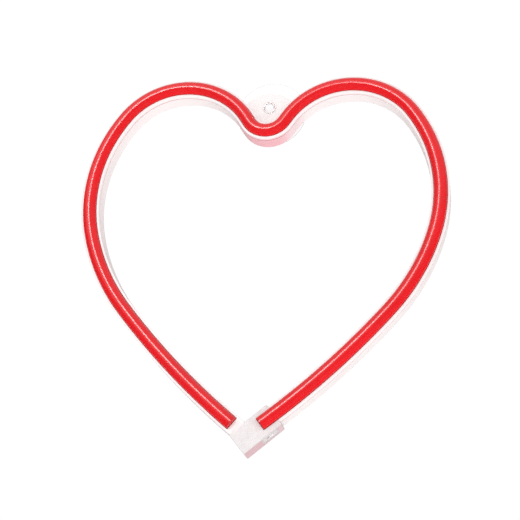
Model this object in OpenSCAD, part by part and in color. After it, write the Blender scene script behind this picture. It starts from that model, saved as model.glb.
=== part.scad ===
// Heart-shaped neon-style sign: a red light tube in a white moulded channel,
// with a driver box at the tip and a suction cup behind the cleft.
// Front faces -Y, up is +Z. The origin is on the axis of the suction cup,
// in the plane of the surface that the cup sticks to.

/* [Heart outline, along the centre of the tube] */
// Height of the cleft's lowest point above the centre of the outline
cleft_y = 91; // [85:0.5:97]
// Radius of the bend at the bottom of the cleft
cleft_r = 14.2; // [12:0.1:18]
// Turn of each half of that bend, in degrees
cleft_turn = 57; // [50:1:62]
// Straight run between the cleft and a lobe
flank_len = 4.6; // [1:0.1:10]
// Radius over the top of a lobe
lobe_r = 51.7; // [45:0.1:58]
// Turn over the top of a lobe, in degrees
lobe_turn = 111; // [105:1:117]
// Radius down the side of a lobe
side_r = 103.8; // [95:0.1:115]
// Turn down the side of a lobe, in degrees
side_turn = 51; // [45:1:57]
// Radius where the side runs into the leg
hip_r = 140; // [125:1:155]
// Turn where the side runs into the leg, in degrees
hip_turn = 25; // [20:1:30]
// Radius of the long, nearly straight leg
leg_r = 534; // [500:1:600]
// Turn of the leg as far as the end of the tube, in degrees
leg_turn = 11.8; // [10.5:0.1:12.2]

/* [Light tube] */
// Outer diameter of the red tube
tube_d = 8.7; // [8:0.1:9.2]
// Height of the tube's axis in front of the channel's front plane
tube_rise = 0.3; // [0:0.1:1]
// Width of the pocket in the tube's back, over the LED strip
pocket_w = 5; // [4.8:0.1:5.4]
// Distance between neighbouring LEDs
led_pitch = 8.3; // [7:0.1:12]
// Width of the LED strip
strip_w = 4.6; // [4:0.1:4.7]
// Thickness of the LED strip
strip_t = 0.3; // [0.2:0.05:0.4]

/* [Channel] */
// Outer width of the channel
channel_w = 12.3; // [12:0.1:13]
// Depth of the channel from its front plane to its back
channel_d = 14; // [13.5:0.1:15]
// Wall thickness of the channel
wall_t = 1.6; // [1.4:0.1:1.7]
// Thickness of the rear cover and of the box lid
cover_t = 1.6; // [1.6:0.1:2]

/* [Driver box at the tip] */
// Height of the box's lowest corner, from the centre of the outline
box_tip_y = -134; // [-136:0.5:-132]
// Angle of the box above the horizontal, in degrees
box_angle = 41; // [39:0.5:43]
// Length of the box along the right leg
box_len = 30.4; // [30:0.1:32]
// Width of the box across the right leg
box_w = 16.2; // [16:0.1:17]
// Travel of the slide switch between off and on
switch_travel = 2; // [1.5:0.1:2]

/* [Hanger and suction cup] */
// Height of the suction cup's axis, from the centre of the outline
cup_y = 112.3; // [111:0.1:113]
// Outer radius of the suction cup
cup_r = 24.2; // [22:0.1:25]
// Distance from the channel's front plane to the surface the cup sticks to
wall_depth = 18.4; // [18.2:0.1:19]
// Thickness of the hanger web between the lobes
web_t = 2.4; // [2:0.1:2.6]
// Distance from the channel's front plane to the front of the hanger web
web_depth = 8; // [7.5:0.1:8.5]
// Height of the top of the hanger web, from the centre of the outline
web_top_y = 123.2; // [119:0.1:124]
// Radius of the round top of the hanger web
web_r = 22; // [20:0.1:23]

/* [Hidden] */
$fn = 64;
// A margin that carries a cut cleanly through a face
eps = 0.01;

// Stretches of the right half: [radius, signed turn], or [0, length] when straight
function half_path(last_turn) = [
    [cleft_r, cleft_turn],
    [0, flank_len],
    [lobe_r, -lobe_turn],
    [side_r, -side_turn],
    [hip_r, -hip_turn],
    [leg_r, -last_turn]];

function left_of(h) = [-sin(h), cos(h)];
function is_straight(s) = s[0] == 0;
function stretch_len(s) = is_straight(s) ? s[1] : s[0] * abs(s[1]) * PI / 180;
function bend_centre(p, h, s) = p + sign(s[1]) * s[0] * left_of(h);
function moved(p, h, s) = is_straight(s)
    ? p + s[1] * [cos(h), sin(h)]
    : bend_centre(p, h, s) - sign(s[1]) * s[0] * left_of(h + s[1]);
function turned(h, s) = is_straight(s) ? h : h + s[1];

// Point and heading where stretch i of a path begins
function start_of(path, i) = i == 0
    ? [[0, cleft_y], 0]
    : let (before = start_of(path, i - 1), s = path[i - 1])
        [moved(before[0], before[1], s), turned(before[1], s)];

// Point and heading at a distance along the path
function place_at(path, dist, i = 0) =
    let (s = path[i], here = start_of(path, i), run = stretch_len(s))
    (dist <= run || i == len(path) - 1)
        ? let (part = is_straight(s) ? [0, dist] : [s[0], s[1] * dist / run])
            [moved(here[0], here[1], part), turned(here[1], part)]
        : place_at(path, dist - run, i + 1);

function path_len(path, i = 0) =
    i == len(path) ? 0 : stretch_len(path[i]) + path_len(path, i + 1);

// Extra turn of the leg that carries a part this far past the tube's end
function leg_with(extra) = leg_turn + extra / leg_r * 180 / PI;

tube_path = half_path(leg_turn);
tube_len = path_len(tube_path);
tube_end = place_at(tube_path, tube_len);
groove_w = channel_w - 2 * wall_t;
tube_r = tube_d / 2;
// Depths of the floor that the tube rests on
floor_front = 4.2;
floor_back = floor_front + wall_t;
cover_front = channel_d - cover_t;
// Fit of a cover in its groove, per side
cover_gap = 0.12;
cover_w = groove_w - 2 * cover_gap;
tube_gap = 0.3;
// How far the legs of the channel run into the driver box
leg_past_tube = 6;
led_size = [2.8, 2.2, 0.8];
led_count = floor((tube_len - 6) / led_pitch);
strip_end_gap = 4;
plug_t = 1;
// Top of the pocket in the tube's back
pocket_top = -1.7;
// Facets round the tube's front
dome_steps = 10;
// Steps along each stretch of the outline
path_steps = [10, 1, 24, 12, 6, 6];

// Rear cover and its screws
cover_cut = 13;
boss_r = 2.5;
pilot_r = 1.05;
screw_r = 1;
screw_head_r = 1.9;
screw_head_t = 1.1;
screw_len = 6;
screw_spots = [28, 96, 164, 232, 300, 358];

// Inside of the driver box
box_wall = 1.5;
front_wall = 1.6;
slot_wall = 1.3;
// How far up the box the room under the front wall goes, short of the tube's end
tip_room = 17.4;
recess_x = [13.8, 26.2];
recess_deep = 1.2;
recess_rim = 1.2;
switch_at = [20, 9.2];
switch_size = [9, 4.4, 4.6];
switch_wall = 0.3;
pin_pitch = 2.5;
base_t = 1;
carriage_size = [5.2, 1.4, 3.4];
// The slider rests in its on position, at the upper end of its travel
slider_x = switch_travel / 2;
knob_size = [3, 2.2];
knob_clear = 0.15;
slot_run = knob_size[0] + switch_travel + 2 * knob_clear;
slot_h = 2.5;
board_x = [1.7, 12.2];
board_y = [1.9, 14.3];
board_depth = 9.6;
board_t = 1;
usb_size = [7.4, 8.94, 3.2];
usb_y = 9.2;
usb_corner = 1.5;
usb_inset = 0.3;
usb_wall = 0.3;
usb_insulator_t = 1.6;
usb_tongue_start = 0.9;
usb_tongue_w = 6.6;
usb_tongue_t = 0.7;
chip_size = [2.9, 1.7, 1];
inductor_size = [3, 3, 1.2];
capacitor_size = [1.6, 0.8, 0.8];
resistor_size = [0.8, 1.2, 0.45];
strip_resistor_size = [1.6, 1.2, 0.5];
lid_post_r = 1.8;
lid_posts = [[27, 12.8], [9.8, 3.7]];
lid_post_tops = [floor_back, front_wall];
lead_r = 0.55;
lead_x = 22.4;
lead_offsets = [1.75, 0.4];
lead_bend = 2;
lead_depth = board_depth + board_t + lead_r;
lead_end_x = 11.4;

// Suction cup
neck_r = 2.6;
neck_fit = 0.07;
neck_lip = 0.15;
// How far along the path from the cleft the hanger web reaches
web_reach = 52;

// ---------- building blocks ----------

// Outline coordinates (x right, y up, z forward) to the sign's own frame
module stand_up() {
    translate([0, -wall_depth, -cup_y])
        rotate([90, 0, 0])
            children();
}

// Distances from the cleft at which an outline has a point, on one half
function half_dists(path, i = 0, done = 0) = i == len(path)
    ? []
    : concat(
        [for (k = [1:path_steps[i]]) done + stretch_len(path[i]) * k / path_steps[i]],
        half_dists(path, i + 1, done + stretch_len(path[i])));

// The same along the whole heart, negative on the left half
function all_dists(path) =
    let (half = half_dists(path))
    concat([for (k = [len(half) - 1:-1:0]) -half[k]], [0], half);

// Point beside the path, at a distance along it and an offset to its left
function beside(path, dist, offset) =
    let (spot = place_at(path, abs(dist)),
        side = dist < 0 ? -1 : 1)
    [side * spot[0][0], spot[0][1]] + offset * left_of(side * spot[1]);

// Outline of a band of width w along the heart; the legs end past the tube by extra
function band_outline(w, extra) =
    let (path = half_path(leg_with(extra)), dists = all_dists(path), last = len(dists) - 1)
    concat(
        [for (d = dists) beside(path, d, w / 2)],
        [for (k = [last:-1:0]) beside(path, dists[k], -w / 2)]);

// That band between two depths behind the front plane
module band(w, depths, extra) {
    translate([0, 0, -depths[1]])
        linear_extrude(depths[1] - depths[0])
            polygon(band_outline(w, extra));
}

// Places children on the path, x along it, at a distance from the cleft
module on_path(dist) {
    spot = place_at(tube_path, dist);
    translate([spot[0][0], spot[0][1], 0])
        rotate([0, 0, spot[1]])
            children();
}

// Box coordinates: x up along the right leg, y to the inner side
module in_box() {
    translate([0, box_tip_y, 0])
        rotate([0, 0, box_angle])
            children();
}

// A block between two x values, two y values and two depths behind the front plane
module block(xs, ys, depths) {
    translate([xs[0], ys[0], -depths[1]])
        cube([xs[1] - xs[0], ys[1] - ys[0], depths[1] - depths[0]]);
}

// A round bar from one depth to another
module bar(r, depths) {
    translate([0, 0, -depths[1]])
        cylinder(h = depths[1] - depths[0], r = r);
}

// ---------- heart channel ----------

// The space between the flanks of the cleft, down to the channel's centre line
function cleft_outline() = [for (d = all_dists(tube_path))
    if (abs(d) < web_reach) beside(tube_path, d, 0)];

module hanger_web() {
    translate([0, 0, -web_depth - web_t])
        linear_extrude(web_t)
            intersection() {
                translate([0, web_top_y - web_r])
                    circle(r = web_r, $fn = 120);
                polygon(cleft_outline());
            }
}

module neck_hole() {
    translate([0, cup_y, 0])
        bar(neck_r + neck_fit, [web_depth - 1, web_depth + web_t + 1]);
}

// Room for the driver, below the front wall and clear of the tube's groove
module box_cavity() {
    deep = [floor_back + 0.2, channel_d + 1];
    near_tip = [front_wall, channel_d + 1];
    in_box() {
        block([box_wall, box_len - box_wall], [recess_deep + slot_wall, box_w - box_wall], deep);
        block([box_wall, recess_x[0] - slot_wall], [box_wall, box_w - box_wall], near_tip);
        block([box_wall, tip_room], [recess_deep + slot_wall, box_w - box_wall], near_tip);
    }
}

// The shallow recess that the switch knob stands in, and its slot
module switch_recess() {
    in_box() {
        block(recess_x, [-1, recess_deep], [recess_rim, channel_d - recess_rim]);
        block([switch_at[0] - slot_run / 2, switch_at[0] + slot_run / 2],
            [-1, recess_deep + slot_wall + 1],
            [switch_at[1] - slot_h / 2, switch_at[1] + slot_h / 2]);
    }
}

module usb_window() {
    in_box()
        translate([-1, usb_y, -usb_depth()])
            rotate([90, 0, 90])
                linear_extrude(box_wall + 2)
                    rounded_slot(usb_size[1] + 0.4, usb_size[2] + 0.4, usb_corner + 0.2);
}

// A rectangle with round corners, centred
module rounded_slot(w, h, r) {
    square([w - 2 * r, h], center = true);
    square([w, h - 2 * r], center = true);
    for (x = [-1, 1], y = [-1, 1])
        translate([x * (w / 2 - r), y * (h / 2 - r)])
            circle(r = r, $fn = 32);
}

function usb_depth() = board_depth - usb_size[2] / 2;

module lid_post_bodies() {
    in_box()
        for (k = [0:1])
            translate([lid_posts[k][0], lid_posts[k][1], 0])
                bar(lid_post_r, [lid_post_tops[k] - eps, cover_front]);
}

module lid_pilots() {
    in_box()
        for (p = lid_posts)
            translate([p[0], p[1], 0])
                bar(pilot_r, [cover_front - screw_len, channel_d]);
}

module on_screw_spots() {
    for (side = [0, 1])
        mirror([side, 0, 0])
            for (dist = screw_spots)
                on_path(dist)
                    children();
}

module lead_holes() {
    in_box()
        for (offset = lead_offsets)
            translate([lead_x, lead_mid() + offset, 0])
                bar(lead_r + 0.1, [floor_front - 1, floor_back + 1]);
}

// The leg's centre line, in box coordinates across the box
function lead_mid() =
    let (d = tube_end[0] - [0, box_tip_y]) d * left_of(box_angle);

module heart_channel() {
    color([0.96, 0.93, 0.93])
        stand_up()
            difference() {
                union() {
                    difference() {
                        union() {
                            band(channel_w, [0, channel_d], leg_past_tube);
                            in_box() block([0, box_len], [0, box_w], [0, channel_d]);
                            hanger_web();
                        }
                        band(groove_w, [-1, floor_front], tube_gap);
                        band(groove_w, [floor_back, channel_d + 1], -cover_cut);
                        box_cavity();
                    }
                    on_screw_spots() bar(boss_r, [floor_back - eps, cover_front]);
                    lid_post_bodies();
                }
                on_screw_spots() bar(pilot_r, [cover_front - screw_len, channel_d]);
                lid_pilots();
                neck_hole();
                switch_recess();
                usb_window();
                lead_holes();
            }
}

// ---------- rear cover ----------

module countersunk_hole() {
    bar(screw_r + 0.2, [cover_front - 1, channel_d + 1]);
    translate([0, 0, -channel_d - eps])
        cylinder(h = screw_head_t + eps, r1 = screw_head_r + 0.15, r2 = screw_r + 0.2);
}

module rear_cover() {
    color([0.93, 0.91, 0.91])
        stand_up()
            difference() {
                band(cover_w, [cover_front, channel_d], -cover_cut - cover_gap);
                on_screw_spots() countersunk_hole();
            }
}

module countersunk_screw() {
    difference() {
        union() {
            translate([0, 0, -channel_d])
                cylinder(h = screw_head_t, r1 = screw_head_r, r2 = screw_r);
            bar(screw_r, [cover_front + cover_t - screw_len, channel_d - screw_head_t + eps]);
        }
        for (a = [0, 90])
            rotate([0, 0, a])
                translate([-1.1, -0.22, -channel_d - eps])
                    cube([2.2, 0.44, 0.6]);
    }
}

module cover_screws() {
    color([0.72, 0.72, 0.74])
        stand_up()
            on_screw_spots() countersunk_screw();
}

// ---------- light tube and LED strip ----------

// Section of the tube: a round front on straight sides, with or without its pocket.
// x is to the left of the path, y is forward.
function dome_points() = [for (k = [0:dome_steps])
    [tube_r * cos(180 * k / dome_steps), tube_rise + tube_r * sin(180 * k / dome_steps)]];
function foot_y() = -floor_front + 0.05;
function pocket_points() = [
    [-pocket_w / 2, foot_y()],
    [-pocket_w / 2, pocket_top],
    [pocket_w / 2, pocket_top],
    [pocket_w / 2, foot_y()]];
function tube_outline(with_pocket) = concat(
    dome_points(),
    [[-tube_r, foot_y()]],
    with_pocket ? pocket_points() : [],
    [[tube_r, foot_y()]]);

// A ring of points where the tube passes a distance
function tube_ring(path, dist, outline) = [for (q = outline)
    let (p = beside(path, dist, q[0])) [p[0], p[1], q[1]]];

module neon_tube() {
    path = half_path(leg_with(-plug_t));
    dists = all_dists(path);
    outline = tube_outline(true);
    n = len(outline);
    rings = len(dists);
    points = [for (d = dists) each tube_ring(path, d, outline)];
    skin = [for (r = [0:rings - 2], k = [0:n - 1])
        let (a = r * n + k, b = r * n + (k + 1) % n)
        each [[a, b + n, b], [a, a + n, b + n]]];
    color([0.93, 0.06, 0.11])
        stand_up()
            polyhedron(
                points,
                concat([[for (k = [0:n - 1]) k]],
                    skin,
                    [[for (k = [n - 1:-1:0]) (rings - 1) * n + k]]));
}

// A plug that closes an end of the tube
module tube_plug() {
    on_path(tube_len - plug_t + 0.02)
        rotate([90, 0, 90])
            linear_extrude(plug_t)
                polygon(tube_outline(false));
}

module tube_plug_right() {
    color([0.85, 0.05, 0.09])
        stand_up()
            tube_plug();
}

module tube_plug_left() {
    color([0.85, 0.05, 0.09])
        stand_up()
            mirror([1, 0, 0])
                tube_plug();
}

module led_strip() {
    color([0.95, 0.9, 0.8])
        stand_up()
            band(strip_w, [floor_front - strip_t, floor_front], -strip_end_gap);
}

// Children at every LED pitch along both halves
module each_led(first, step) {
    for (side = [0, 1])
        mirror([side, 0, 0])
            for (k = [first:step:led_count - 1])
                on_path((k + 0.5) * led_pitch)
                    children();
}

module led_chips() {
    color([1, 0.95, 0.75])
        stand_up()
            each_led(0, 1)
                translate([-led_size[0] / 2, -led_size[1] / 2, strip_t - floor_front])
                    cube(led_size);
}

module strip_resistors() {
    color([0.15, 0.15, 0.16])
        stand_up()
            each_led(1, 3)
                translate([(led_pitch - strip_resistor_size[0]) / 2, -strip_resistor_size[1] / 2,
                    strip_t - floor_front])
                    cube(strip_resistor_size);
}

// ---------- driver box ----------

module box_lid() {
    g = cover_gap;
    lo = box_wall + g;
    color([0.93, 0.91, 0.91])
        stand_up()
            difference() {
                in_box() {
                    block([lo, box_len - lo], [recess_deep + slot_wall + g, box_w - lo],
                        [cover_front, channel_d]);
                    block([lo, recess_x[0] - slot_wall - g], [lo, box_w - lo],
                        [cover_front, channel_d]);
                }
                in_box()
                    for (p = lid_posts)
                        translate([p[0], p[1], 0])
                            countersunk_hole();
            }
}

module lid_screws() {
    color([0.72, 0.72, 0.74])
        stand_up()
            in_box()
                for (p = lid_posts)
                    translate([p[0], p[1], 0])
                        countersunk_screw();
}

module driver_board() {
    color([0.1, 0.4, 0.2])
        stand_up()
            difference() {
                in_box()
                    block(board_x, board_y, [board_depth, board_depth + board_t]);
                in_box()
                    translate([lid_posts[1][0], lid_posts[1][1], 0])
                        bar(lid_post_r + 0.25, [0, channel_d]);
            }
}

// A part on the board's back side, by place and size
module on_board_back(x, y, size) {
    in_box()
        translate([x, y, -board_depth - board_t - size[2]])
            cube(size);
}

module driver_chip() {
    color([0.1, 0.1, 0.11])
        stand_up()
            on_board_back(5.4, 5.4, chip_size);
}

module inductor() {
    color([0.25, 0.25, 0.27])
        stand_up()
            on_board_back(6.4, 9.6, inductor_size);
}

module capacitors() {
    color([0.75, 0.62, 0.45])
        stand_up()
            for (y = [5.2, 8.2])
                on_board_back(3, y, capacitor_size);
}

module board_resistors() {
    color([0.15, 0.15, 0.16])
        stand_up()
            for (k = [0:2])
                on_board_back(10.3, 6.4 + 1.8 * k, resistor_size);
}

// Children drawn across the socket, at a distance in from the box's end wall
module in_socket(dist) {
    in_box()
        translate([dist, usb_y, -usb_depth()])
            rotate([90, 0, 90])
                children();
}

// Outline of the room inside the socket's shell
module socket_room() {
    rounded_slot(usb_size[1] - 2 * usb_wall, usb_size[2] - 2 * usb_wall, usb_corner - usb_wall);
}

module usb_shell() {
    color([0.78, 0.78, 0.8])
        stand_up()
            in_socket(usb_inset)
                difference() {
                    linear_extrude(usb_size[0])
                        rounded_slot(usb_size[1], usb_size[2], usb_corner);
                    translate([0, 0, -1])
                        linear_extrude(usb_size[0] + 2)
                            socket_room();
                }
}

module usb_insulator() {
    color([0.12, 0.12, 0.13])
        stand_up()
            in_socket(usb_inset + usb_size[0] - usb_insulator_t)
                linear_extrude(usb_insulator_t)
                    socket_room();
}

module usb_tongue() {
    tongue_x = [usb_inset + usb_tongue_start, usb_inset + usb_size[0] - usb_insulator_t];
    color([0.12, 0.12, 0.13])
        stand_up()
            in_box()
                block(tongue_x, [usb_y - usb_tongue_w / 2, usb_y + usb_tongue_w / 2],
                    [usb_depth() - usb_tongue_t / 2, usb_depth() + usb_tongue_t / 2]);
}

// ---------- slide switch ----------

// Switch coordinates: origin at the middle of its slot, on the box wall's inner face
module in_switch() {
    in_box()
        translate([switch_at[0], recess_deep + slot_wall, -switch_at[1]])
            children();
}

module switch_case() {
    w = switch_size[0];
    d = switch_size[1];
    h = switch_size[2];
    t = switch_wall;
    color([0.78, 0.78, 0.8])
        stand_up()
            in_switch()
                difference() {
                    translate([-w / 2, 0.02, -h / 2])
                        cube([w, d, h]);
                    translate([-w / 2 + t, t, -h / 2 + t])
                        cube([w - 2 * t, d, h - 2 * t]);
                    translate([-slot_run / 2, -1, -slot_h / 2])
                        cube([slot_run, 2, slot_h]);
                }
}

module switch_base() {
    w = switch_size[0] - 2 * switch_wall - 0.1;
    h = switch_size[2] - 2 * switch_wall - 0.1;
    color([0.55, 0.35, 0.18])
        stand_up()
            in_switch()
                difference() {
                    translate([-w / 2, switch_size[1] - base_t, -h / 2])
                        cube([w, base_t, h]);
                    for (k = [-1:1])
                        translate([k * pin_pitch - 0.45, 3, -0.35])
                            cube([0.9, 2, 0.7]);
                }
}

module switch_pins() {
    color([0.85, 0.68, 0.35])
        stand_up()
            in_switch()
                for (k = [-1:1])
                    translate([k * pin_pitch - 0.4, 3.1, -0.3])
                        cube([0.8, 2.1, 0.6]);
}

module switch_slider() {
    color([0.97, 0.96, 0.95])
        stand_up()
            in_switch()
                translate([slider_x, 0, 0]) {
                    translate([-carriage_size[0] / 2, 0.5, -carriage_size[2] / 2])
                        cube(carriage_size);
                    translate([-knob_size[0] / 2, 0.6 - recess_deep - slot_wall,
                        -knob_size[1] / 2])
                        cube([knob_size[0], recess_deep + slot_wall, knob_size[1]]);
                }
}

// Spring bridge under the slider, which joins two pins
module switch_contact() {
    color([0.9, 0.72, 0.35])
        stand_up()
            in_switch()
                translate([slider_x, 0, 0]) {
                    translate([-1.7, 1.9, -0.5])
                        cube([3.4, 0.2, 1]);
                    for (k = [-1, 1])
                        translate([k * 1.4 - 0.3, 2.1, -0.5])
                            cube([0.6, 0.9, 1]);
                }
}

// ---------- leads ----------

// A lead from the strip's end, through the floor, to the back of the driver board
module lead(offset) {
    top = floor_front - 0.6;
    turn_at = lead_depth - lead_bend;
    in_box()
        translate([lead_x, lead_mid() + offset, 0]) {
            bar(lead_r, [top, turn_at]);
            translate([-lead_bend, 0, -turn_at])
                rotate([90, 0, 0])
                    rotate([0, 0, -90])
                        rotate_extrude(angle = 90)
                            translate([lead_bend, 0])
                                circle(r = lead_r);
            translate([lead_end_x - lead_x, 0, -lead_depth])
                rotate([0, 90, 0])
                    cylinder(h = lead_x - lead_end_x - lead_bend, r = lead_r);
        }
}

module lead_positive() {
    color([0.75, 0.08, 0.08])
        stand_up()
            lead(lead_offsets[0]);
}

module lead_negative() {
    color([0.1, 0.1, 0.1])
        stand_up()
            lead(lead_offsets[1]);
}

// ---------- suction cup ----------

// Half section: x is the radius, y is the distance in front of the wall
function cup_front() = wall_depth - web_depth;

module cup_section() {
    f = cup_front() + neck_lip;
    b = cup_front() - web_t - neck_lip;
    polygon([
        [0, f + 2.45],
        [1.6, f + 2.35],
        [3.1, f + 1.75],
        [4.1, f + 0.75],
        [4.3, f],
        [neck_r, f],
        [neck_r, b],
        [5, b],
        [5.6, b - 0.85],
        [7.4, b - 2.45],
        [9.6, b - 3.95],
        [13, b - 4.85],
        [17.5, b - 5.65],
        [21.5, b - 6.55],
        [cup_r, 0.7],
        [cup_r, 0.2],
        [cup_r - 0.4, 0],
        [cup_r - 2.6, 0],
        [19, 0.9],
        [15, 1.6],
        [10, 2.3],
        [5, 2.9],
        [0, 3.1]]);
}

module suction_cup() {
    color([0.9, 0.93, 0.95, 0.5])
        rotate([90, 0, 0])
            rotate_extrude($fn = 120)
                cup_section();
}

heart_channel();
rear_cover();
cover_screws();
neon_tube();
tube_plug_left();
tube_plug_right();
led_strip();
led_chips();
strip_resistors();
lead_positive();
lead_negative();
box_lid();
lid_screws();
driver_board();
driver_chip();
inductor();
capacitors();
board_resistors();
usb_shell();
usb_tongue();
usb_insulator();
switch_case();
switch_base();
switch_pins();
switch_slider();
switch_contact();
suction_cup();
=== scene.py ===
import math

import bmesh
import bpy
import numpy as np
from mathutils import Matrix, Vector

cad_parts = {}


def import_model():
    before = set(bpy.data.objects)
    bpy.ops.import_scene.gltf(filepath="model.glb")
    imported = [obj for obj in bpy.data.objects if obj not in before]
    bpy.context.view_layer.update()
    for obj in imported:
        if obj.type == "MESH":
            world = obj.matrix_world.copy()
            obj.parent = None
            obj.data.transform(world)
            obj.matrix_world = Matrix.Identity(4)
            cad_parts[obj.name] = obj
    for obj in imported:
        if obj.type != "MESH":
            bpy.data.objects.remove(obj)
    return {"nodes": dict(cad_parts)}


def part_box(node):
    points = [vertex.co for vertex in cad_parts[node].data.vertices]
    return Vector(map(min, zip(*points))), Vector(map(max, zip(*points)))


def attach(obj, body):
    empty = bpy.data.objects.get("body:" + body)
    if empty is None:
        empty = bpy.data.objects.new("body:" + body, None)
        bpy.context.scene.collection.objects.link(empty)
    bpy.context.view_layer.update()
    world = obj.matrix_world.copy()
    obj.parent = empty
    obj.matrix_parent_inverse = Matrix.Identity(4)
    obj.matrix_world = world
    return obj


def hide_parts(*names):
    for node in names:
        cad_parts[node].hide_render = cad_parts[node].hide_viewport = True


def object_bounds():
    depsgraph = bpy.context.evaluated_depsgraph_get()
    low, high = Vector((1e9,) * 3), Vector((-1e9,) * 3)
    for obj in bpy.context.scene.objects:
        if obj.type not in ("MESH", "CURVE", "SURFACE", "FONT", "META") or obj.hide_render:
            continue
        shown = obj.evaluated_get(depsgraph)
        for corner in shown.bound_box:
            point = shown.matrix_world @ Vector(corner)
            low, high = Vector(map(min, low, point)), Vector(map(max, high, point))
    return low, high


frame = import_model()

# Heart-shaped neon-style sign. Lengths are in millimetres here and become metres in world().
# Outline coordinates: x to the right, y up in the heart's own plane, and depth back from the
# channel's front plane.

MM = 0.001
CAD_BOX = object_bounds()

# ---------- driving dimensions ----------

# Right half of the heart from the cleft's lowest point: (radius, signed turn in degrees),
# or (0, length) where it is straight
CLEFT_Y = 91.0
STRETCHES = [(14.2, 57.0), (0.0, 4.6), (51.7, -111.0), (103.8, -51.0), (140.0, -25.0), (534.0, -11.8)]

# Section of the tube and the channel
TUBE_R = 4.35
TUBE_RISE = 0.3
BAND_W = 12.3
GROOVE_W = 9.1
FLOOR_FRONT = 4.2
FLOOR_BACK = 5.8
DEPTH = 14.0
COVER_FRONT = 12.4
COVER_W = 8.86
COVER_CUT = 13.0
END_GAP = 0.3
LEG_PAST_TUBE = 6.0
PLUG_LEN = 1.0
# Distance between the sections of the channel and of the tube
CHANNEL_STEP = 1.6
TUBE_STEP = 1.3
# Shallow parting groove round the channel's outer walls: its depths and how far it goes in
PARTING = (2.9, 3.7, 0.4)
# Rear cover screws: distances along each half, boss radius, and the pilot holes
SCREW_SPOTS = [28.0, 96.0, 164.0, 232.0, 300.0, 358.0]
BOSS_R = 2.5
PILOT_R = 1.05
PILOT_FRONT = 6.4

# Driver box at the tip: x up along the right leg, y to the inner side
BOX_TIP_Y = -134.0
BOX_ANGLE = math.radians(41.0)
BOX_LEN = 30.4
BOX_W = 16.2
BOX_WALL = 1.5
# The wall is thicker behind the switch recess. The room's part at the tip goes further forward than
# the rest, and a little further along the leg where it is narrow
RECESS_WALL = 2.5
ROOM_FRONT = 6.0
ROOM_TIP_FRONT = 1.6
ROOM_TIP_X = 12.5
ROOM_NARROW_X = 17.4
RECESS_X = (13.8, 26.2)
RECESS_DEEP = 1.2
RECESS_RIM = 1.2
SWITCH_X = 20.0
SWITCH_DEPTH = 9.2
SWITCH_TRAVEL = 2.0
USB_Y = 9.2
USB_DEPTH = 8.0
LID_POSTS = [(27.0, 12.8), (9.8, 3.7)]
POST_R = 1.8

# Hanger web and suction cup
WEB_TOP_Y = 123.2
WEB_R = 22.0
WEB_DEPTHS = (8.0, 10.4)
WEB_EDGE = 0.5
NECK_HOLE_R = 2.67

channel_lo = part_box("heart_channel")[0]
cup_lo, cup_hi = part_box("suction_cup")
FRONT_Y = channel_lo.y
RAISE = channel_lo.z - BOX_TIP_Y * MM
CUP_AXIS_Y = ((cup_lo.z + cup_hi.z) / 2 - RAISE) / MM
CUP_R = (cup_hi.x - cup_lo.x) / 2 / MM
WALL_DEPTH = (cup_hi.y - FRONT_Y) / MM


def world(x, y, depth):
    """Outline coordinates in millimetres to a point of the row frame in metres."""
    return Vector((x * MM, FRONT_Y + depth * MM, y * MM + RAISE))


def box_world(x, y, depth):
    """Box coordinates in millimetres to a point of the row frame in metres."""
    c, s = math.cos(BOX_ANGLE), math.sin(BOX_ANGLE)
    return world(c * x - s * y, BOX_TIP_Y + s * x + c * y, depth)


# ---------- the heart's path ----------

def stretch_length(stretch):
    """Length of one (radius, turn) or (0, length) stretch."""
    radius, turn = stretch
    return turn if radius == 0 else radius * math.radians(abs(turn))


TUBE_LEN = sum(stretch_length(s) for s in STRETCHES)


def spot(dist):
    """Point (x, y) and heading where the path has gone dist from the cleft; dist is negative on the
    left half."""
    x, y, heading = 0.0, CLEFT_Y, 0.0
    left = abs(dist)
    for k, (radius, turn) in enumerate(STRETCHES):
        run = stretch_length((radius, turn))
        last = k == len(STRETCHES) - 1
        part = left if last else min(left, run)
        if radius == 0:
            x += part * math.cos(heading)
            y += part * math.sin(heading)
        else:
            side = math.copysign(1.0, turn)
            swing = side * part / radius
            x += side * radius * (math.sin(heading + swing) - math.sin(heading))
            y -= side * radius * (math.cos(heading + swing) - math.cos(heading))
            heading += swing
        left -= part
        if left <= 0:
            break
    if dist < 0:
        return -x, y, -heading
    return x, y, heading


def stations(start, end, step):
    """Evenly spaced distances from start to end, about step apart."""
    count = max(2, round((end - start) / step))
    return [start + (end - start) * k / count for k in range(count + 1)]


# ---------- mesh helpers ----------

def new_object(name, bm):
    """An object in the scene from a bmesh, which is then gone."""
    bmesh.ops.recalc_face_normals(bm, faces=bm.faces)
    mesh = bpy.data.meshes.new(name)
    bm.to_mesh(mesh)
    bm.free()
    obj = bpy.data.objects.new(name, mesh)
    bpy.context.scene.collection.objects.link(obj)
    return obj


def loft(name, rings):
    """A closed solid through rings of points with the same count, capped at both ends."""
    bm = bmesh.new()
    rows = [[bm.verts.new(p) for p in ring] for ring in rings]
    count = len(rows[0])
    for a, b in zip(rows, rows[1:]):
        for k in range(count):
            j = (k + 1) % count
            bm.faces.new((a[k], a[j], b[j], b[k]))
    bm.faces.new(rows[0][::-1])
    bm.faces.new(rows[-1])
    return new_object(name, bm)


def sweep(name, profile, dists):
    """A section of (offset, depth) points carried along the heart."""
    rings = []
    for d in dists:
        x, y, heading = spot(d)
        nx, ny = -math.sin(heading), math.cos(heading)
        rings.append([world(x + u * nx, y + u * ny, v) for u, v in profile])
    return loft(name, rings)


def arc(cx, cy, r, start, end, steps):
    """Points of an arc between two angles in degrees."""
    return [(cx + r * math.cos(math.radians(start + (end - start) * k / steps)),
             cy + r * math.sin(math.radians(start + (end - start) * k / steps)))
            for k in range(steps + 1)]


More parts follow.
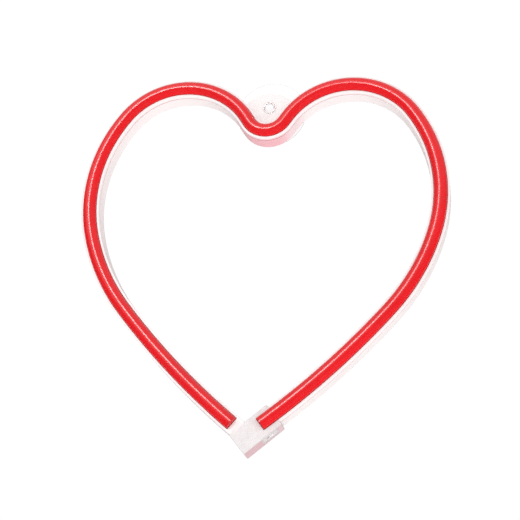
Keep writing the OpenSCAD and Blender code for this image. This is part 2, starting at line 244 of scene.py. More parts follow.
def rounded_outline(x0, x1, y0, y1, r, steps=4):
    """A rectangle with round corners."""
    return (arc(x1 - r, y1 - r, r, 0, 90, steps) + arc(x0 + r, y1 - r, r, 90, 180, steps)
            + arc(x0 + r, y0 + r, r, 180, 270, steps) + arc(x1 - r, y0 + r, r, 270, 360, steps))


def edge_insets(r, steps=3):
    """(inset, rise) steps of a rounded edge, from the face to the side."""
    angles = [math.radians(90 * k / steps) for k in range(steps + 1)]
    return [(r - r * math.sin(t), r - r * math.cos(t)) for t in angles]


def rounded_block(name, place, xs, ys, zs, corner, low=0.0, high=0.0):
    """A block with round corners in x and y and rounded edges at its low and high z."""
    def ring(inset, z):
        r = max(corner - inset, 0.05)
        outline = rounded_outline(xs[0] + inset, xs[1] - inset, ys[0] + inset, ys[1] - inset, r)
        return [place(x, y, z) for x, y in outline]
    rings = []
    if low > 0:
        rings += [ring(i, zs[0] + h) for i, h in edge_insets(low)]
    else:
        rings.append(ring(0, zs[0]))
    if high > 0:
        rings += [ring(i, zs[1] - h) for i, h in reversed(edge_insets(high))]
    else:
        rings.append(ring(0, zs[1]))
    return loft(name, rings)


def stack_bar(name, place, x, y, steps, segments=32):
    """A turned bar along depth: steps are (radius, depth)."""
    rings = [[place(x + r * math.cos(2 * math.pi * k / segments),
                    y + r * math.sin(2 * math.pi * k / segments), d)
              for k in range(segments)] for r, d in steps]
    return loft(name, rings)


def bar(name, place, x, y, radius, depths, segments=32):
    """A round bar along depth."""
    return stack_bar(name, place, x, y, [(radius, d) for d in depths], segments)


def both_halves(dists):
    """Points (x, y) of the path at these distances, on the left half and then on the right."""
    return [spot(side * d)[:2] for side in (-1, 1) for d in dists]


def apply_modifiers(obj):
    """Replace the mesh by the one its modifiers make."""
    graph = bpy.context.evaluated_depsgraph_get()
    mesh = bpy.data.meshes.new_from_object(obj.evaluated_get(graph))
    obj.modifiers.clear()
    old = obj.data
    obj.data = mesh
    bpy.data.meshes.remove(old)


def combine(target, others, operation):
    """Boolean of target with each of the others, which are then gone."""
    for k, other in enumerate(others):
        mod = target.modifiers.new(f"cut{k}", "BOOLEAN")
        mod.operation = operation
        mod.solver = "MANIFOLD"
        mod.object = other
    apply_modifiers(target)
    for other in others:
        bpy.data.objects.remove(other)


def smooth(obj, degrees=32.0):
    """Smooth shading with sharp edges past an angle, and flat faces kept flat."""
    mesh = obj.data
    mesh.shade_smooth()
    mesh.set_sharp_from_angle(angle=math.radians(degrees))
    mod = obj.modifiers.new("normals", "WEIGHTED_NORMAL")
    mod.keep_sharp = True
    mod.weight = 60


# ---------- material helpers ----------

def feed(links, socket, value):
    """Set a socket to a number or a colour, or link an output to it."""
    if isinstance(value, (int, float)):
        socket.default_value = value
    elif isinstance(value, tuple):
        socket.default_value = (*value, 1.0)
    else:
        links.new(value, socket)


def combined(nodes, links, operation, a, b):
    """Output of a Math node of two outputs or numbers."""
    node = nodes.new("ShaderNodeMath")
    node.operation = operation
    for socket, value in zip(node.inputs, (a, b)):
        feed(links, socket, value)
    return node.outputs[0]


class Shader:
    """A material with a Principled BSDF and short calls to wire nodes into it."""

    def __init__(self, name):
        self.mat = bpy.data.materials.new(name)
        self.mat.use_nodes = True
        self.nodes = self.mat.node_tree.nodes
        self.links = self.mat.node_tree.links
        self.bsdf = next(n for n in self.nodes if n.type == "BSDF_PRINCIPLED")
        self.coords = self.nodes.new("ShaderNodeTexCoord").outputs["Object"]

    def set(self, **values):
        for key, value in values.items():
            self.bsdf.inputs[key.replace("_", " ")].default_value = value

    def noise(self, scale, detail=3.0, rough=0.5, stretch=None):
        node = self.nodes.new("ShaderNodeTexNoise")
        node.inputs["Scale"].default_value = scale
        node.inputs["Detail"].default_value = detail
        node.inputs["Roughness"].default_value = rough
        source = self.coords
        if stretch:
            mapping = self.nodes.new("ShaderNodeMapping")
            mapping.inputs["Scale"].default_value = stretch
            self.links.new(source, mapping.inputs["Vector"])
            source = mapping.outputs["Vector"]
        self.links.new(source, node.inputs["Vector"])
        return node.outputs["Fac"]

    def attribute(self, name, output="Fac"):
        node = self.nodes.new("ShaderNodeAttribute")
        node.attribute_name = name
        return node.outputs[output]

    def ramp(self, fac, stops):
        """Colour by a value; stops are (position, colour)."""
        node = self.nodes.new("ShaderNodeValToRGB")
        ramp = node.color_ramp
        while len(ramp.elements) < len(stops):
            ramp.elements.new(0.5)
        for element, (position, colour) in zip(ramp.elements, stops):
            element.position = position
            element.color = (*colour, 1.0)
        self.links.new(fac, node.inputs["Fac"])
        return node.outputs["Color"]

    def spread(self, fac, low, high, start=0.3, end=0.7):
        """low to high as a value goes from start to end."""
        node = self.nodes.new("ShaderNodeMapRange")
        node.inputs["From Min"].default_value = start
        node.inputs["From Max"].default_value = end
        node.inputs["To Min"].default_value = low
        node.inputs["To Max"].default_value = high
        self.links.new(fac, node.inputs["Value"])
        return node.outputs["Result"]

    def mix(self, fac, a, b, blend="MIX"):
        node = self.nodes.new("ShaderNodeMix")
        node.data_type = "RGBA"
        node.blend_type = blend
        for key, value in (("Factor", fac), ("A", a), ("B", b)):
            feed(self.links, node.inputs[key], value)
        return next(o for o in node.outputs if o.type == "RGBA")

    def bump(self, height, distance, strength=0.4):
        node = self.nodes.new("ShaderNodeBump")
        node.inputs["Distance"].default_value = distance
        node.inputs["Strength"].default_value = strength
        self.links.new(height, node.inputs["Height"])
        self.links.new(node.outputs["Normal"], self.bsdf.inputs["Normal"])

    def colour(self, output):
        self.links.new(output, self.bsdf.inputs["Base Color"])

    def roughness(self, output):
        self.links.new(output, self.bsdf.inputs["Roughness"])


def assign(obj, mat):
    obj.data.materials.clear()
    obj.data.materials.append(mat)


def declare(obj, body, node):
    """The piece moves with this body and replaces this CAD node, which is hidden."""
    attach(obj, body)
    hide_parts(node)


# Painted shade: how much darker the box is painted than the rest of the channel
BOX_PAINTED_SHADE = (0.79, 0.785, 0.79)


def white_plastic(name, tint, painted_red_light_and_shade=False):
    """Satin moulded plastic. With the flag set, the tube's red light is painted on the walls next to it,
    together with painted shade.
    """
    s = Shader(name)
    s.set(IOR=1.46)
    patches = s.noise(45.0, 4.0)
    darker = tuple(0.955 * c for c in tint)
    base = s.ramp(patches, [(0.3, darker), (0.7, tint)])
    if painted_red_light_and_shade:
        # Painted red light from the tube: the ramp is strongest and darkest in the thin parting groove,
        # where painted shade is added too
        pink = s.ramp(s.attribute("painted_red_light_and_shade"), [
            (0.0, (1.0, 1.0, 1.0)),
            (0.35, (1.0, 0.84, 0.87)),
            (0.8, (0.96, 0.56, 0.61)),
            (1.0, (0.6, 0.3, 0.32))])
        base = s.mix(1.0, base, pink, "MULTIPLY")
        # Painted shade on the box's faces
        base = s.mix(s.attribute("box"), base, s.mix(1.0, base, BOX_PAINTED_SHADE, "MULTIPLY"))
    s.colour(base)
    s.roughness(s.spread(s.noise(260.0, 3.0), 0.36, 0.5))
    waves = combined(s.nodes, s.links, "MULTIPLY", s.noise(150.0, 2.0), 0.5)
    s.bump(combined(s.nodes, s.links, "ADD", s.noise(1900.0, 2.0), waves), 0.01 * MM, 0.15)
    return s.mat


def red_silicone(name, light, dark):
    """Smooth soft silicone with a trace of dust. Its gloss stretches along the tube, as on an
    extrusion."""
    s = Shader(name)
    s.set(IOR=1.43, Anisotropic=0.9)
    s.links.new(s.attribute("along", "Vector"), s.bsdf.inputs["Tangent"])
    base = s.ramp(s.noise(70.0, 5.0), [(0.32, dark), (0.62, light)])
    dust = s.spread(s.noise(900.0, 4.0, 0.7), 0.0, 0.015, 0.55, 0.8)
    s.colour(s.mix(dust, base, (0.8, 0.3, 0.3)))
    s.roughness(s.spread(s.noise(180.0, 4.0), 0.24, 0.3))
    s.bump(s.noise(1600.0, 3.0), 0.002 * MM, 0.1)
    return s.mat


# ---------- heart channel ----------

def band_profile(half, front, back, r_front, r_back, groove=None):
    """Closed section of a solid band with rounded edges, as (offset, depth). groove is the start and
    end depth of a shallow groove in both sides, and how far it goes in."""
    left, right = [], []
    if groove:
        start, end, deep = groove
        slope = 0.12
        left = [(-half, start), (-half + deep, start + slope), (-half + deep, end - slope), (-half, end)]
        right = [(-u, v) for u, v in reversed(left)]
    return (arc(half - r_front, front + r_front, r_front, 0, -90, 4)
            + arc(-half + r_front, front + r_front, r_front, 270, 180, 4) + left
            + arc(-half + r_back, back - r_back, r_back, 180, 90, 3)
            + arc(half - r_back, back - r_back, r_back, 90, 0, 3) + right)


def groove_profile(half, mouth, floor, lip, corner):
    """Section of a groove cutter: its mouth rounds the lips, its floor has round corners.
    mouth and floor are depths; the floor may be in front of the mouth."""
    away = 1.0 if floor > mouth else -1.0
    right = [(half + lip, mouth - away)]
    right += [(half + lip - lip * math.sin(t), mouth + away * (lip - lip * math.cos(t)))
              for t in (math.radians(90 * k / 4) for k in range(5))]
    right += [(half - corner + corner * math.cos(t), floor - away * (corner - corner * math.sin(t)))
              for t in (math.radians(90 * k / 2) for k in range(3))]
    return right + [(-u, v) for u, v in reversed(right)]


def web_ring(inset, depth):
    """Outline of the hanger web: a round top over the cleft, down to the channel's centre line."""
    centre_y = WEB_TOP_Y - WEB_R
    radius = WEB_R - inset
    meet = next(d for d in stations(0, 60, 0.1)
                if math.hypot(spot(d)[0], spot(d)[1] - centre_y) > radius)
    x, y, _ = spot(meet)
    start = math.degrees(math.atan2(y - centre_y, x))
    top = arc(0, centre_y, radius, start, 180 - start, 40)[1:-1]
    lower = [spot(d)[:2] for d in stations(-meet, meet, meet / 14)]
    return [world(px, py, depth) for px, py in lower + top]


def web_plate():
    rings = [web_ring(i, WEB_DEPTHS[0] + h) for i, h in edge_insets(WEB_EDGE)]
    rings += [web_ring(i, WEB_DEPTHS[1] - h) for i, h in reversed(edge_insets(WEB_EDGE))]
    return loft("web", rings)


def outline_hole(name, x, y, radius, depths, chamfer):
    """Cutter for a hole with a small chamfer at both faces."""
    a, b = depths
    steps = [(radius + chamfer, a - 1), (radius + chamfer, a), (radius, a + chamfer),
             (radius, b - chamfer), (radius + chamfer, b), (radius + chamfer, b + 1)]
    return stack_bar(name, world, x, y, steps)


def across_box(x, depth, y):
    """box_world for a shape drawn in x and depth and carried along y."""
    return box_world(x, y, depth)


def recess_cutter():
    """The switch recess: rounded outer edges and a filleted floor."""
    flare, fillet = 0.25, 0.35
    xs, ds = RECESS_X, (RECESS_RIM, DEPTH - RECESS_RIM)
    def ring(grow, y):
        outline = rounded_outline(xs[0] - grow, xs[1] + grow, ds[0] - grow, ds[1] + grow, 0.6 + grow)
        return [across_box(x, d, y) for x, d in outline]
    rings = [ring(flare, -1.0)]
    rings += [ring(flare - flare * math.sin(t), flare - flare * math.cos(t))
              for t in (math.radians(30 * k) for k in range(4))]
    rings += [ring(-(fillet - fillet * math.cos(t)), RECESS_DEEP - fillet + fillet * math.sin(t))
              for t in (math.radians(30 * k) for k in range(4))]
    return loft("recess", rings)


def usb_cutter():
    """The window for the USB socket, with a rounded rim."""
    half_w, half_h, corner, rim = 4.67, 1.8, 1.7, 0.3
    def ring(grow, x):
        outline = rounded_outline(USB_Y - half_w - grow, USB_Y + half_w + grow,
                                  USB_DEPTH - half_h - grow, USB_DEPTH + half_h + grow, corner + grow, 6)
        return [box_world(x, y, d) for y, d in outline]
    rings = [ring(rim, -1.0)]
    rings += [ring(rim - rim * math.sin(t), rim - rim * math.cos(t))
              for t in (math.radians(30 * k) for k in range(4))]
    rings.append(ring(0.0, 2.5))
    return loft("usb_window", rings)


def channel_mesh():
    """Channel, box and hanger web in one solid."""
    ends = TUBE_LEN + LEG_PAST_TUBE
    section = band_profile(BAND_W / 2, 0.0, DEPTH, 0.5, 0.35, PARTING)
    body = sweep("channel_body", section, stations(-ends, ends, CHANNEL_STEP))
    box = rounded_block("box", box_world, (0, BOX_LEN), (0, BOX_W), (0, DEPTH), 0.8, 0.5, 0.35)
    combine(body, [box, web_plate()], "UNION")
    tube_run = TUBE_LEN + END_GAP
    cover_run = TUBE_LEN - COVER_CUT
    wall, side_wall = BOX_WALL, RECESS_WALL
    # The small differences keep the rooms' fronts and open ends from lying in one plane
    cutters = [
        sweep("groove_front", groove_profile(GROOVE_W / 2, 0.0, FLOOR_FRONT, 0.35, 0.3),
              stations(-tube_run, tube_run, CHANNEL_STEP)),
        sweep("groove_back", groove_profile(GROOVE_W / 2, DEPTH, FLOOR_BACK, 0.2, 0.3),
              stations(-cover_run, cover_run, CHANNEL_STEP)),
        rounded_block("room", box_world, (wall, BOX_LEN - wall), (side_wall, BOX_W - wall),
                      (ROOM_FRONT, DEPTH + 1.0), 0.5),
        rounded_block("room_tip", box_world, (wall, ROOM_TIP_X), (wall, BOX_W - wall),
                      (ROOM_TIP_FRONT, DEPTH + 1.2), 0.5),
        rounded_block("room_narrow", box_world, (wall + 0.02, ROOM_NARROW_X),
                      (side_wall, BOX_W - wall - 0.02), (ROOM_TIP_FRONT + 0.02, DEPTH + 1.4), 0.5)]
    combine(body, cutters, "DIFFERENCE")
    posts = [bar("boss", world, *p, BOSS_R, (FLOOR_BACK - 0.1, COVER_FRONT))
             for p in both_halves(SCREW_SPOTS)]
    posts += [bar("post", box_world, *p, POST_R, (foot - 0.1, COVER_FRONT))
              for p, foot in zip(LID_POSTS, (FLOOR_BACK, ROOM_TIP_FRONT))]
    combine(body, posts, "UNION")
    pilot_run = (PILOT_FRONT, DEPTH + 1)
    pilots = [bar("pilot", world, *p, PILOT_R, pilot_run, 16) for p in both_halves(SCREW_SPOTS)]
    pilots += [bar("pilot", box_world, *p, PILOT_R, pilot_run, 16) for p in LID_POSTS]
    combine(body, pilots, "DIFFERENCE")
    half_len = 1.65 + SWITCH_TRAVEL / 2
    half_high = 1.25
    slot = rounded_block("slot", across_box, (SWITCH_X - half_len, SWITCH_X + half_len),
                         (SWITCH_DEPTH - half_high, SWITCH_DEPTH + half_high), (0.5, 3.5), 0.3)
    neck = outline_hole("neck", 0, CUP_AXIS_Y, NECK_HOLE_R, WEB_DEPTHS, 0.25)
    combine(body, [recess_cutter(), slot, usb_cutter(), neck], "DIFFERENCE")
    return body


def outline_places(obj):
    """For each point of a piece: x, y and depth, the path's nearest distance and heading, and how far
    off the path the point is, positive to the left."""
    dists = np.array(stations(-TUBE_LEN, TUBE_LEN, 1.0))
    path = np.array([spot(d) for d in dists])
    points = np.array([v.co for v in obj.data.vertices])
    x = points[:, 0] / MM
    y = (points[:, 2] - RAISE) / MM
    depth = (points[:, 1] - FRONT_Y) / MM
    nearest = np.hypot(x[:, None] - path[:, 0], y[:, None] - path[:, 1]).argmin(axis=1)
    px, py, heading = path[nearest].T
    off = (y - py) * np.cos(heading) - (x - px) * np.sin(heading)
    return x, y, depth, dists[nearest], heading, off


def paint_red_light_and_shade(obj):
    """Point attributes: one gives the strength of the tube's red light and of shade painted on the walls
    beside the tube; box is 1 on the box."""
    x, y, depth, dist, _, side = outline_places(obj)
    off = np.abs(side)
    # The outer walls get painted red light, stronger and darker below the cleft as painted shade, and so
    # does the floor of the groove behind the tube
    behind_lip = np.clip((depth - 0.4) / 1.6, 0, 1)
    wall = np.clip((off - 5.6) / 0.4, 0, 1) * np.clip((6.6 - off) / 0.4, 0, 1)
    cleft = np.interp(dist, [-30, -18, -6, 6, 14, 24, 32], [0, 0.6, 0.8, 0.8, 0.36, 0.3, 0]) * (side < 0)
    floor = np.clip((5.0 - off) / 0.3, 0, 1) * (depth > 0.5) * (depth < FLOOR_FRONT + 0.3)
    painted_red_light_and_shade = wall * behind_lip * np.maximum(0.07, cleft) + floor * 0.8
    # The parting groove gets the darkest value: painted red light with painted shade
    in_parting = (np.abs(off - BAND_W / 2 + PARTING[2]) < 0.1) & (depth > PARTING[0]) & (depth < PARTING[1])
    painted_red_light_and_shade = np.where(in_parting, 1.0, painted_red_light_and_shade)
    # The box's wall with the switch recess gets painted red light and painted shade
    c, s = math.cos(BOX_ANGLE), math.sin(BOX_ANGLE)
    box_x = c * x + s * (y - BOX_TIP_Y)
    box_y = c * (y - BOX_TIP_Y) - s * x
    near = 0.3
    at_wall = (np.abs(box_y) < near) & (box_x > near) & (box_x < BOX_LEN + near) & (depth > 0.4)
    painted_red_light_and_shade = np.where(at_wall, np.interp(box_x, [13.0, 27.0], [0.55, 0.4]), painted_red_light_and_shade)
    # Points of the box, which the material paints with shade
    in_box = (box_x > -near) & (box_x < BOX_LEN + near) & (box_y > -near) & (box_y < BOX_W + near)
    for attribute, values in (("painted_red_light_and_shade", painted_red_light_and_shade), ("box", in_box)):
        layer = obj.data.attributes.new(attribute, "FLOAT", "POINT")
        layer.data.foreach_set("value", values.astype(np.float32))


def paint_along(obj):
    """Attribute along, the direction of the path, which gives the gloss its tangent."""
    heading = outline_places(obj)[4]
    along = np.stack([np.cos(heading), np.zeros_like(heading), np.sin(heading)], axis=1)
    layer = obj.data.attributes.new("along", "FLOAT_VECTOR", "POINT")
    layer.data.foreach_set("vector", along.astype(np.float32).ravel())


channel = channel_mesh()
paint_red_light_and_shade(channel)
smooth(channel)
# The faint pink in this white is partly painted red light from the tube
assign(channel, white_plastic("channel_white", (0.9, 0.85, 0.845), painted_red_light_and_shade=True))
declare(channel, "sign", "heart_channel")


# ---------- rear cover and lid ----------

COVER_PLAY = 0.12


def countersink(place, x, y):
    """Cutter for a screw's clearance hole and its countersink in the cover or the lid."""
    steps = [(1.2, COVER_FRONT - 1), (1.2, DEPTH - 1.1), (2.05, DEPTH - 0.05), (2.25, DEPTH + 0.1),
             (2.25, DEPTH + 1)]
    return stack_bar("countersink", place, x, y, steps)


def cover_mesh():
    run = TUBE_LEN - COVER_CUT - COVER_PLAY
    section = band_profile(COVER_W / 2, COVER_FRONT, DEPTH, 0.1, 0.35)
    cover = sweep("cover", section, stations(-run, run, CHANNEL_STEP))
    holes = [countersink(world, *p) for p in both_halves(SCREW_SPOTS)]
    combine(cover, holes, "DIFFERENCE")
    return cover


def lid_mesh():
    """The lid fills the mouth of the box's room, with the same play all round."""
    gap = BOX_WALL + COVER_PLAY
    ys = (RECESS_WALL + COVER_PLAY, BOX_W - gap)
    zs = (COVER_FRONT, DEPTH)
    lid = rounded_block("lid", box_world, (gap, BOX_LEN - gap), ys, zs, 0.5, 0.1, 0.35)
    tip = rounded_block("lid_tip", box_world, (gap, ROOM_TIP_X - COVER_PLAY), (gap, BOX_W - gap), zs,
                        0.5, 0.1, 0.35)
    combine(lid, [tip], "UNION")
    combine(lid, [countersink(box_world, *p) for p in LID_POSTS], "DIFFERENCE")
    return lid


cover_plastic = white_plastic("cover_white", (0.9, 0.87, 0.865))
for piece, node in ((cover_mesh(), "rear_cover"), (lid_mesh(), "box_lid")):
    smooth(piece)
    assign(piece, cover_plastic)
    declare(piece, "sign", node)


# ---------- light tube ----------

def tube_section(pocket=True):
    """Round front on straight sides; the pocket in the back holds the LED strip."""
    foot, corner = FLOOR_FRONT - 0.05, 0.35
    right = [(TUBE_R * math.cos(t), -TUBE_RISE - TUBE_R * math.sin(t))
             for t in (math.radians(90 - 90 * k / 12) for k in range(13))]
    right += [(TUBE_R, 1.5)]
    right += arc(TUBE_R - corner, foot - corner, corner, 0, 90, 3)
    if pocket:
        right += [(2.5, foot), (2.5, 1.7)]
    left = [(-u, v) for u, v in reversed(right[1:])]
    return right + left


def tube_mesh():
    run = TUBE_LEN - PLUG_LEN
    return sweep("light_tube", tube_section(), stations(-run, run, TUBE_STEP))


def plug_mesh(name, side):
    """An end plug with a softened outer edge."""
    section = tube_section(pocket=False)
    middle = (FLOOR_FRONT - TUBE_R - TUBE_RISE) / 2
    def ring(dist, shrink):
        x, y, heading = spot(side * dist)
        nx, ny = -math.sin(heading), math.cos(heading)
        return [world(x + u * shrink * nx, y + u * shrink * ny, middle + (v - middle) * shrink)
                for u, v in section]
    end = TUBE_LEN
    rings = [ring(end - PLUG_LEN, 1.0), ring(end - 0.25, 1.0), ring(end - 0.07, 0.985), ring(end, 0.95)]
    return loft(name, rings)


tube = tube_mesh()
paint_along(tube)
smooth(tube)
assign(tube, red_silicone("tube_red", (0.75, 0.004, 0.009), (0.71, 0.003, 0.007)))
declare(tube, "sign", "neon_tube")

plug_red = red_silicone("plug_red", (0.68, 0.006, 0.012), (0.62, 0.004, 0.009))
for half, half_side in (("left", -1), ("right", 1)):
    plug = plug_mesh(f"end_plug_{half}", half_side)
    paint_along(plug)
    smooth(plug)
    assign(plug, plug_red)
    declare(plug, "sign", f"tube_plug_{half}")


# ---------- suction cup ----------

def cup_section():
    """(radius, distance from the wall) of the cup, from the button's middle round to the hollow.
    f and b are where the neck starts and ends, in front of the web and behind it."""
    play = 0.15
    f = WALL_DEPTH - WEB_DEPTHS[0] + play
    b = WALL_DEPTH - WEB_DEPTHS[1] - play
    button = [(0, f + 2.45), (0.9, f + 2.42), (1.8, f + 2.3), (2.7, f + 2.0), (3.5, f + 1.5),
              (4.0, f + 0.95), (4.25, f + 0.45), (4.28, f + 0.15), (4.15, f)]
    neck = [(2.7, f), (2.6, f - 0.1), (2.6, b + 0.1), (2.7, b)]
    bell = [(4.7, b), (5.1, b - 0.15), (5.6, b - 0.85), (6.4, b - 1.65), (7.4, b - 2.45), (8.4, b - 3.15),
            (9.6, b - 3.8), (11.2, b - 4.4), (13, b - 4.85), (15.2, b - 5.28), (17.5, b - 5.65),
            (19.6, b - 6.05), (21.5, b - 6.5), (23.0, 0.98), (CUP_R - 0.25, 0.74), (CUP_R - 0.03, 0.58),
            (CUP_R, 0.4), (CUP_R - 0.03, 0.2), (CUP_R - 0.2, 0.05), (CUP_R - 0.45, 0.0)]
    hollow = [(CUP_R - 2.4, 0.0), (21.4, 0.03), (20.4, 0.4), (19, 0.9), (17, 1.28), (15, 1.6), (12.5, 1.97),
              (10, 2.3), (7.5, 2.62), (5, 2.87), (2.5, 3.03), (0, 3.1)]
    return button + neck + bell + hollow


def lathe(name, section, place, segments=120):
    """A turned solid; the section's first and last points are on the axis."""
    bm = bmesh.new()
    rows = []
    for r, h in section:
        if r == 0:
            rows.append([bm.verts.new(place(0, 0, h))])
        else:
            rows.append([bm.verts.new(place(r * math.cos(2 * math.pi * k / segments),
                                            r * math.sin(2 * math.pi * k / segments), h))
                         for k in range(segments)])
    for a, b in zip(rows, rows[1:]):
        for k in range(segments):
            j = (k + 1) % segments
            corner = [a[k % len(a)], b[k % len(b)], b[j % len(b)], a[j % len(a)]]
            face = [v for i, v in enumerate(corner) if v not in corner[:i]]
            bm.faces.new(face)
    return new_object(name, bm)


def clear_vinyl():
    """Clear soft vinyl, a little cloudy where it is thick, with fine scuffs."""
    s = Shader("cup_clear")
    s.set(IOR=1.4, Transmission_Weight=1.0, Specular_IOR_Level=0.5)
    # The faint pink in the cup's colour is painted red light from the tube
    s.colour(s.ramp(s.noise(120.0, 3.0), [(0.3, (0.99, 0.955, 0.96)), (0.7, (1.0, 0.975, 0.978))]))
    s.roughness(s.spread(s.noise(300.0, 4.0), 0.04, 0.12))
    s.bump(s.noise(250.0, 2.0), 0.05 * MM, 0.15)
    return s.mat


cup = lathe("cup", cup_section(), lambda x, y, h: world(x, CUP_AXIS_Y + y, WALL_DEPTH - h))
smooth(cup, 50.0)
assign(cup, clear_vinyl())
declare(cup, "cup", "suction_cup")


# ---------- switch knob ----------

def knob_mesh():
    """Ribbed knob on its carriage, drawn in the on position."""
    slide_x = SWITCH_X + SWITCH_TRAVEL / 2
    def place(x, d, y):
        return across_box(slide_x + x, SWITCH_DEPTH + d, y)
    carriage = rounded_block("knob", place, (-2.6, 2.6), (-1.7, 1.7),
                             (RECESS_WALL + 0.5, RECESS_WALL + 1.9), 0.2, 0.1, 0.1)
    stem = rounded_block("stem", place, (-1.5, 1.5), (-1.1, 1.1), (0.6, RECESS_WALL + 0.7), 0.35, 0.2)
    combine(carriage, [stem], "UNION")
    ribs = [rounded_block("rib", place, (x - 0.16, x + 0.16), (-1.4, 1.4), (0.3, 0.85), 0.1, 0.0, 0.08)
            for x in (-0.9, -0.3, 0.3, 0.9)]
    combine(carriage, ribs, "DIFFERENCE")
    return carriage


def knob_plastic():
    s = Shader("knob_white")
    s.set(IOR=1.5)
    s.colour(s.ramp(s.noise(400.0, 3.0), [(0.3, (0.86, 0.85, 0.84)), (0.7, (0.93, 0.92, 0.91))]))
    s.roughness(s.spread(s.noise(900.0, 3.0), 0.3, 0.42))
    s.bump(s.noise(3000.0, 2.0), 0.01 * MM, 0.3)
    return s.mat


knob = knob_mesh()
smooth(knob)
assign(knob, knob_plastic())
declare(knob, "slider", "switch_slider")


# ---------- materials of the CAD nodes that stay ----------

def metal(name, light, dark, rough=(0.22, 0.38), streak=(1.0, 1.0, 1.0)):
    """Metal with a faint grain, which streak stretches or squeezes along the axes."""
    s = Shader(name)
    s.set(Metallic=1.0)
    s.colour(s.ramp(s.noise(500.0, 4.0, stretch=streak), [(0.3, dark), (0.7, light)]))
    s.roughness(s.spread(s.noise(1400.0, 3.0, stretch=streak), *rough))
    s.bump(s.noise(2600.0, 2.0, stretch=streak), 0.008 * MM, 0.3)
    return s.mat


def moulded(name, light, dark, rough=(0.4, 0.6), grain=2500.0, coat=0.0):
    """Plastic, lacquer or ceramic with patches between two colours and a fine grain."""
    s = Shader(name)
    s.set(IOR=1.5, Coat_Weight=coat)
    s.colour(s.ramp(s.noise(300.0, 4.0), [(0.3, dark), (0.7, light)]))
    s.roughness(s.spread(s.noise(700.0, 3.0), *rough))
    s.bump(s.noise(grain, 2.0), 0.015 * MM, 0.35)
    return s.mat


chip_black = moulded("chip_black", (0.03, 0.03, 0.033), (0.018, 0.018, 0.02), (0.45, 0.62))
screw_steel = metal("screw_steel", (0.62, 0.62, 0.64), (0.5, 0.5, 0.52))
plated = metal("plated_steel", (0.78, 0.78, 0.8), (0.68, 0.68, 0.7), (0.15, 0.26), (1.0, 1.0, 6.0))
brass = metal("contact_brass", (0.86, 0.66, 0.3), (0.76, 0.55, 0.23), (0.2, 0.32))
strip_white = moulded("strip_pcb", (0.86, 0.82, 0.7), (0.8, 0.75, 0.62), (0.25, 0.4))
led_phosphor = moulded("led_lens", (0.95, 0.82, 0.35), (0.9, 0.72, 0.24), (0.12, 0.22), 1500.0, 0.5)
board_green = moulded("board_green", (0.02, 0.2, 0.08), (0.012, 0.14, 0.055), (0.18, 0.3), 1200.0, 0.4)
tan = moulded("capacitor_tan", (0.55, 0.42, 0.25), (0.46, 0.34, 0.19), (0.35, 0.5))
phenolic = moulded("switch_phenolic", (0.25, 0.12, 0.045), (0.18, 0.085, 0.03), (0.5, 0.7))
wire_red = moulded("lead_red", (0.6, 0.02, 0.02), (0.5, 0.012, 0.012), (0.35, 0.5))
wire_black = moulded("lead_black", (0.02, 0.02, 0.02), (0.012, 0.012, 0.012), (0.35, 0.5))
FINISHES = {
    "cover_screws": screw_steel,
    "lid_screws": screw_steel,
    "led_strip": strip_white,
    "led_chips": led_phosphor,
    "strip_resistors": chip_black,
    "lead_positive": wire_red,
    "lead_negative": wire_black,
    "driver_board": board_green,
    "driver_chip": chip_black,
    "inductor": chip_black,
    "capacitors": tan,
    "board_resistors": chip_black,
    "usb_shell": plated,
    "usb_tongue": chip_black,
    "usb_insulator": chip_black,
    "switch_case": plated,
    "switch_base": phenolic,
    "switch_pins": brass,
    "switch_contact": brass}
for node, finish in FINISHES.items():
    assign(frame["nodes"][node], finish)


# ---------- floor, light and camera ----------

# Camera axes: it stands to the right of the sign and below it, and looks up
RIGHT = Vector((0.98344, 0.16995, 0.06298))
UP = Vector((0.00224, -0.35886, 0.93339))
BACK = Vector((0.18123, -0.91779, -0.35330))

# Brightness of the backdrop, of the soft fill from below and from above, the share of that fill
# that comes from behind the sign, and brightness of the dome that reflections see and of the haze
# in its upper left
BACKDROP = 1.02
FILL = (1.28, 0.98)
SHADE_BEHIND = 0.62
DOME = 1.2
HAZE = 2.0
HAZE_WAY = BACK * 0.57 - RIGHT * 0.5 + UP * 0.65

# Where the lights stand as seen from the sign's middle, how far, how wide, and their power in watts
MIDDLE = (CAD_BOX[0] + CAD_BOX[1]) / 2
LAMP_WAY = BACK * 0.695 - RIGHT * 0.375 + UP * 0.614
LAMP_FAR, LAMP_SIZE, LAMP_POWER = 0.64, 0.2, 4.1
SOFT_WAY = BACK * 0.6 + RIGHT * 0.6 - UP * 0.5
SOFT_FAR, SOFT_SIZE, SOFT_POWER = 2.0, 1.6, 6.0
FLOOR_Z = -1.6


def round_light(name, way, far, size, power):
    """A round white light that looks at the sign's middle."""
    light = bpy.data.lights.new(name, "AREA")
    light.shape = "DISK"
    light.size = size
    light.energy = power
    obj = bpy.data.objects.new(name, light)
    bpy.context.scene.collection.objects.link(obj)
    obj.location = MIDDLE + far * way
    obj.rotation_euler = (MIDDLE - obj.location).to_track_quat("-Z", "Y").to_euler()
    return obj


def pale_floor():
    """A wide pale floor well below the sign, which neither lights it nor shows in its gloss."""
    bm = bmesh.new()
    bmesh.ops.create_grid(bm, x_segments=8, y_segments=8, size=6.0)
    floor = new_object("floor", bm)
    floor.location = (0, 0, FLOOR_Z)
    s = Shader("floor_pale")
    s.colour(s.ramp(s.noise(6.0, 4.0), [(0.3, (0.88, 0.88, 0.88)), (0.7, (0.92, 0.92, 0.92))]))
    s.roughness(s.spread(s.noise(20.0), 0.6, 0.75))
    assign(floor, s.mat)
    for rays in ("glossy", "diffuse", "shadow"):
        setattr(floor, f"visible_{rays}", False)


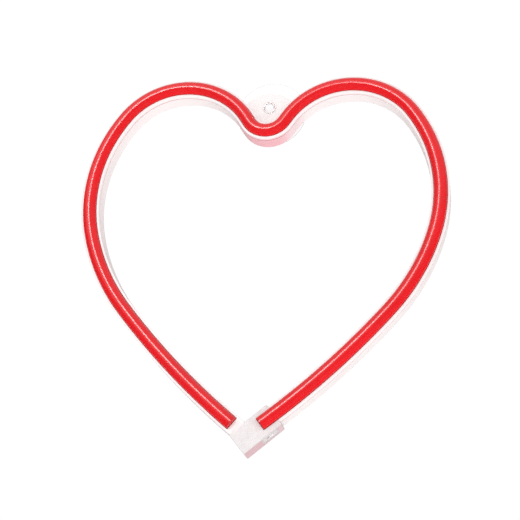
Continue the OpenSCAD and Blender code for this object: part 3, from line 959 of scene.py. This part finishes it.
def white_world():
    """White backdrop and soft fill. Reflections see a white dome with a bright haze, over a dark
    ground."""
    sky = bpy.data.worlds.new("studio")
    sky.use_nodes = True
    nodes, links = sky.node_tree.nodes, sky.node_tree.links
    background = next(n for n in nodes if n.type == "BACKGROUND")
    path = nodes.new("ShaderNodeLightPath")
    direction = nodes.new("ShaderNodeTexCoord").outputs["Generated"]

    def towards(axis, start, end, low, high):
        """low to high as the direction turns towards the axis."""
        dot = nodes.new("ShaderNodeVectorMath")
        dot.operation = "DOT_PRODUCT"
        dot.inputs[1].default_value = axis
        links.new(direction, dot.inputs[0])
        fade = nodes.new("ShaderNodeMapRange")
        fade.interpolation_type = "SMOOTHSTEP"
        fade.inputs["From Min"].default_value = start
        fade.inputs["From Max"].default_value = end
        fade.inputs["To Min"].default_value = low
        fade.inputs["To Max"].default_value = high
        links.new(dot.outputs["Value"], fade.inputs["Value"])
        return fade.outputs["Result"]

    def choose(switch, off, on):
        node = nodes.new("ShaderNodeMix")
        for key, value in (("Factor", switch), ("A", off), ("B", on)):
            feed(links, node.inputs[key], value)
        return next(o for o in node.outputs if o.type == "VALUE")

    fill = combined(nodes, links, "MULTIPLY",
                    towards(UP, -1.0, 1.0, *FILL), towards(BACK, -1.0, 0.0, SHADE_BEHIND, 1.0))
    dome = combined(nodes, links, "ADD",
                    towards(UP, 0.1, 0.95, 0.0, DOME), towards(HAZE_WAY, 0.76, 1.0, 0.0, HAZE))
    # What is seen through the clear cup is the backdrop too
    backdrop = combined(nodes, links, "MAXIMUM",
                        path.outputs["Is Camera Ray"], path.outputs["Transmission Depth"])
    level = choose(path.outputs["Is Glossy Ray"], fill, dome)
    links.new(choose(backdrop, level, BACKDROP), background.inputs["Strength"])
    background.inputs["Color"].default_value = (1.0, 1.0, 1.0, 1.0)
    bpy.context.scene.world = sky


def make_camera():
    cam = bpy.data.cameras.new("camera")
    cam.sensor_width = 36.0
    cam.lens = 91.04
    obj = bpy.data.objects.new("camera", cam)
    bpy.context.scene.collection.objects.link(obj)
    obj.location = (0.1590, -0.8133, RAISE - 0.3101)
    obj.rotation_euler = Matrix((RIGHT, UP, BACK)).transposed().to_euler()
    bpy.context.scene.camera = obj


make_camera()
pale_floor()
white_world()
# A small lamp, up and to the left of the camera and near the sign, draws the line along the tube
line_lamp = round_light("line_lamp", LAMP_WAY, LAMP_FAR, LAMP_SIZE, LAMP_POWER)
line_lamp.visible_diffuse = False
soft_fill = round_light("soft_fill", SOFT_WAY, SOFT_FAR, SOFT_SIZE, SOFT_POWER)
soft_fill.visible_glossy = False
bpy.context.scene.view_settings.view_transform = "Standard"
